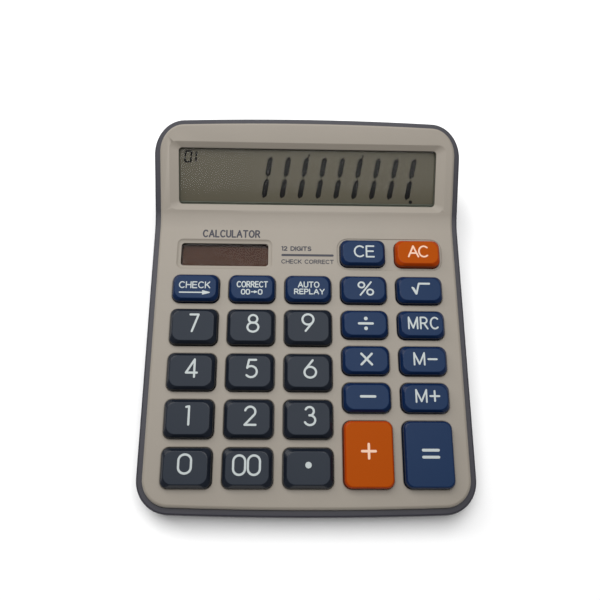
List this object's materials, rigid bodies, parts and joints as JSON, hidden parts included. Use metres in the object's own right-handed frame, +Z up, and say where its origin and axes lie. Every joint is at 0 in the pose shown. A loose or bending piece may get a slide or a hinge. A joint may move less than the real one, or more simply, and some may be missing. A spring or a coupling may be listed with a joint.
{
  "type": "desk calculator",
  "caption": "Desk calculator with a raised sloping display, a solar cell, and sprung number and function keys in a two-part plastic case.",
  "frame": {"origin": "middle of the footprint, at the underside of the rubber feet", "axes": "+X to the user's right, +Y from the front edge towards the display, +Z up"},
  "size_m": [0.15, 0.1822, 0.0478],
  "materials": {
    "case_pale": "fine satin moulded plastic, warm grey",
    "case_dark": "satin moulded plastic, dark grey",
    "key_dark": "polished keys, charcoal",
    "key_blue": "polished keys, slate blue",
    "key_orange": "polished keys, burnt orange",
    "clear_window": "clear hard acrylic",
    "solar_window": "clear hard acrylic",
    "lcd_glass": "grey-green liquid crystal panel",
    "reflector_film": "reflective film",
    "white_plastic": "plain moulded plastic",
    "flex_film": "amber film with printed tracks",
    "solar_glass": "brown amorphous silicon on glass",
    "black_foam": "closed-cell foam",
    "wire_sleeve": "soft wire sleeve",
    "board_green": "solder-masked laminate",
    "chip_epoxy": "black potting epoxy",
    "board_part": "small electronic parts",
    "screw_steel": "zinc-plated steel",
    "contact_metal": "nickel-plated spring steel",
    "mat_rubber": "silicone rubber",
    "dome_rubber": "silicone rubber",
    "cell_sleeve": "plain printed sleeve",
    "foot_rubber": "black rubber"
  },
  "bodies": {
    "case": {"upper_case": "case_pale", "lower_case": "case_dark", "display_window": "clear_window", "window_tape": "black_foam", "lcd_panel": "lcd_glass", "lcd_reflector": "reflector_film", "lcd_holder": "white_plastic", "lcd_ribbon": "flex_film", "lcd_screws": "screw_steel", "solar_window": "solar_window", "solar_cell": "solar_glass", "solar_pad": "black_foam", "solar_leads": "wire_sleeve", "main_board": "board_green", "controller_chip": "chip_epoxy", "board_parts": "board_part", "board_screws": "screw_steel", "key_mat": "mat_rubber", "key_domes": "dome_rubber", "battery_cell": "cell_sleeve", "battery_spring": "contact_metal", "battery_plates": "contact_metal", "battery_leads": "wire_sleeve", "case_screws": "screw_steel", "rubber_feet": "foot_rubber"},
    "battery_door": {"battery_door": "case_dark"},
    "key_0": {"key_0": "key_dark"},
    "key_00": {"key_00": "key_dark"},
    "key_point": {"key_point": "key_dark"},
    "key_1": {"key_1": "key_dark"},
    "key_2": {"key_2": "key_dark"},
    "key_3": {"key_3": "key_dark"},
    "key_4": {"key_4": "key_dark"},
    "key_5": {"key_5": "key_dark"},
    "key_6": {"key_6": "key_dark"},
    "key_7": {"key_7": "key_dark"},
    "key_8": {"key_8": "key_dark"},
    "key_9": {"key_9": "key_dark"},
    "key_check": {"key_check": "key_blue"},
    "key_correct": {"key_correct": "key_blue"},
    "key_replay": {"key_replay": "key_blue"},
    "key_percent": {"key_percent": "key_blue"},
    "key_divide": {"key_divide": "key_blue"},
    "key_multiply": {"key_multiply": "key_blue"},
    "key_minus": {"key_minus": "key_blue"},
    "key_plus": {"key_plus": "key_orange"},
    "key_root": {"key_root": "key_blue"},
    "key_memory_recall": {"key_memory_recall": "key_blue"},
    "key_memory_minus": {"key_memory_minus": "key_blue"},
    "key_memory_plus": {"key_memory_plus": "key_blue"},
    "key_equals": {"key_equals": "key_blue"},
    "key_clear_entry": {"key_clear_entry": "key_blue"},
    "key_all_clear": {"key_all_clear": "key_orange"}
  },
  "joints": [
    {"name": "press_0", "type": "slide", "parent": "case", "child": "key_0", "axis": [0, 0.0785, -0.9969], "range_m": [0, 0.002], "stiffness_N_per_m": 250, "springref_m": -0.001, "deforming": ["key_domes"]},
    {"name": "press_00", "type": "slide", "parent": "case", "child": "key_00", "axis": [0, 0.0785, -0.9969], "range_m": [0, 0.002], "stiffness_N_per_m": 250, "springref_m": -0.001, "deforming": ["key_domes"]},
    {"name": "press_point", "type": "slide", "parent": "case", "child": "key_point", "axis": [0, 0.0785, -0.9969], "range_m": [0, 0.002], "stiffness_N_per_m": 250, "springref_m": -0.001, "deforming": ["key_domes"]},
    {"name": "press_1", "type": "slide", "parent": "case", "child": "key_1", "axis": [0, 0.0785, -0.9969], "range_m": [0, 0.002], "stiffness_N_per_m": 250, "springref_m": -0.001, "deforming": ["key_domes"]},
    {"name": "press_2", "type": "slide", "parent": "case", "child": "key_2", "axis": [0, 0.0785, -0.9969], "range_m": [0, 0.002], "stiffness_N_per_m": 250, "springref_m": -0.001, "deforming": ["key_domes"]},
    {"name": "press_3", "type": "slide", "parent": "case", "child": "key_3", "axis": [0, 0.0785, -0.9969], "range_m": [0, 0.002], "stiffness_N_per_m": 250, "springref_m": -0.001, "deforming": ["key_domes"]},
    {"name": "press_4", "type": "slide", "parent": "case", "child": "key_4", "axis": [0, 0.0785, -0.9969], "range_m": [0, 0.002], "stiffness_N_per_m": 250, "springref_m": -0.001, "deforming": ["key_domes"]},
    {"name": "press_5", "type": "slide", "parent": "case", "child": "key_5", "axis": [0, 0.0785, -0.9969], "range_m": [0, 0.002], "stiffness_N_per_m": 250, "springref_m": -0.001, "deforming": ["key_domes"]},
    {"name": "press_6", "type": "slide", "parent": "case", "child": "key_6", "axis": [0, 0.0785, -0.9969], "range_m": [0, 0.002], "stiffness_N_per_m": 250, "springref_m": -0.001, "deforming": ["key_domes"]},
    {"name": "press_7", "type": "slide", "parent": "case", "child": "key_7", "axis": [0, 0.0785, -0.9969], "range_m": [0, 0.002], "stiffness_N_per_m": 250, "springref_m": -0.001, "deforming": ["key_domes"]},
    {"name": "press_8", "type": "slide", "parent": "case", "child": "key_8", "axis": [0, 0.0785, -0.9969], "range_m": [0, 0.002], "stiffness_N_per_m": 250, "springref_m": -0.001, "deforming": ["key_domes"]},
    {"name": "press_9", "type": "slide", "parent": "case", "child": "key_9", "axis": [0, 0.0785, -0.9969], "range_m": [0, 0.002], "stiffness_N_per_m": 250, "springref_m": -0.001, "deforming": ["key_domes"]},
    {"name": "press_check", "type": "slide", "parent": "case", "child": "key_check", "axis": [0, 0.0785, -0.9969], "range_m": [0, 0.002], "stiffness_N_per_m": 250, "springref_m": -0.001, "deforming": ["key_domes"]},
    {"name": "press_correct", "type": "slide", "parent": "case", "child": "key_correct", "axis": [0, 0.0785, -0.9969], "range_m": [0, 0.002], "stiffness_N_per_m": 250, "springref_m": -0.001, "deforming": ["key_domes"]},
    {"name": "press_replay", "type": "slide", "parent": "case", "child": "key_replay", "axis": [0, 0.0785, -0.9969], "range_m": [0, 0.002], "stiffness_N_per_m": 250, "springref_m": -0.001, "deforming": ["key_domes"]},
    {"name": "press_percent", "type": "slide", "parent": "case", "child": "key_percent", "axis": [0, 0.0785, -0.9969], "range_m": [0, 0.002], "stiffness_N_per_m": 250, "springref_m": -0.001, "deforming": ["key_domes"]},
    {"name": "press_divide", "type": "slide", "parent": "case", "child": "key_divide", "axis": [0, 0.0785, -0.9969], "range_m": [0, 0.002], "stiffness_N_per_m": 250, "springref_m": -0.001, "deforming": ["key_domes"]},
    {"name": "press_multiply", "type": "slide", "parent": "case", "child": "key_multiply", "axis": [0, 0.0785, -0.9969], "range_m": [0, 0.002], "stiffness_N_per_m": 250, "springref_m": -0.001, "deforming": ["key_domes"]},
    {"name": "press_minus", "type": "slide", "parent": "case", "child": "key_minus", "axis": [0, 0.0785, -0.9969], "range_m": [0, 0.002], "stiffness_N_per_m": 250, "springref_m": -0.001, "deforming": ["key_domes"]},
    {"name": "press_plus", "type": "slide", "parent": "case", "child": "key_plus", "axis": [0, 0.0785, -0.9969], "range_m": [0, 0.002], "stiffness_N_per_m": 250, "springref_m": -0.001, "deforming": ["key_domes"]},
    {"name": "press_root", "type": "slide", "parent": "case", "child": "key_root", "axis": [0, 0.0785, -0.9969], "range_m": [0, 0.002], "stiffness_N_per_m": 250, "springref_m": -0.001, "deforming": ["key_domes"]},
    {"name": "press_memory_recall", "type": "slide", "parent": "case", "child": "key_memory_recall", "axis": [0, 0.0785, -0.9969], "range_m": [0, 0.002], "stiffness_N_per_m": 250, "springref_m": -0.001, "deforming": ["key_domes"]},
    {"name": "press_memory_minus", "type": "slide", "parent": "case", "child": "key_memory_minus", "axis": [0, 0.0785, -0.9969], "range_m": [0, 0.002], "stiffness_N_per_m": 250, "springref_m": -0.001, "deforming": ["key_domes"]},
    {"name": "press_memory_plus", "type": "slide", "parent": "case", "child": "key_memory_plus", "axis": [0, 0.0785, -0.9969], "range_m": [0, 0.002], "stiffness_N_per_m": 250, "springref_m": -0.001, "deforming": ["key_domes"]},
    {"name": "press_equals", "type": "slide", "parent": "case", "child": "key_equals", "axis": [0, 0.0785, -0.9969], "range_m": [0, 0.002], "stiffness_N_per_m": 250, "springref_m": -0.001, "deforming": ["key_domes"]},
    {"name": "press_clear_entry", "type": "slide", "parent": "case", "child": "key_clear_entry", "axis": [0, 0.0785, -0.9969], "range_m": [0, 0.002], "stiffness_N_per_m": 250, "springref_m": -0.001, "deforming": ["key_domes"]},
    {"name": "press_all_clear", "type": "slide", "parent": "case", "child": "key_all_clear", "axis": [0, 0.0785, -0.9969], "range_m": [0, 0.002], "stiffness_N_per_m": 250, "springref_m": -0.001, "deforming": ["key_domes"]},
    {"name": "battery_door_slide", "type": "slide", "parent": "case", "child": "battery_door", "axis": [0, 1, 0], "range_m": [0, 0.024]}
  ]
}
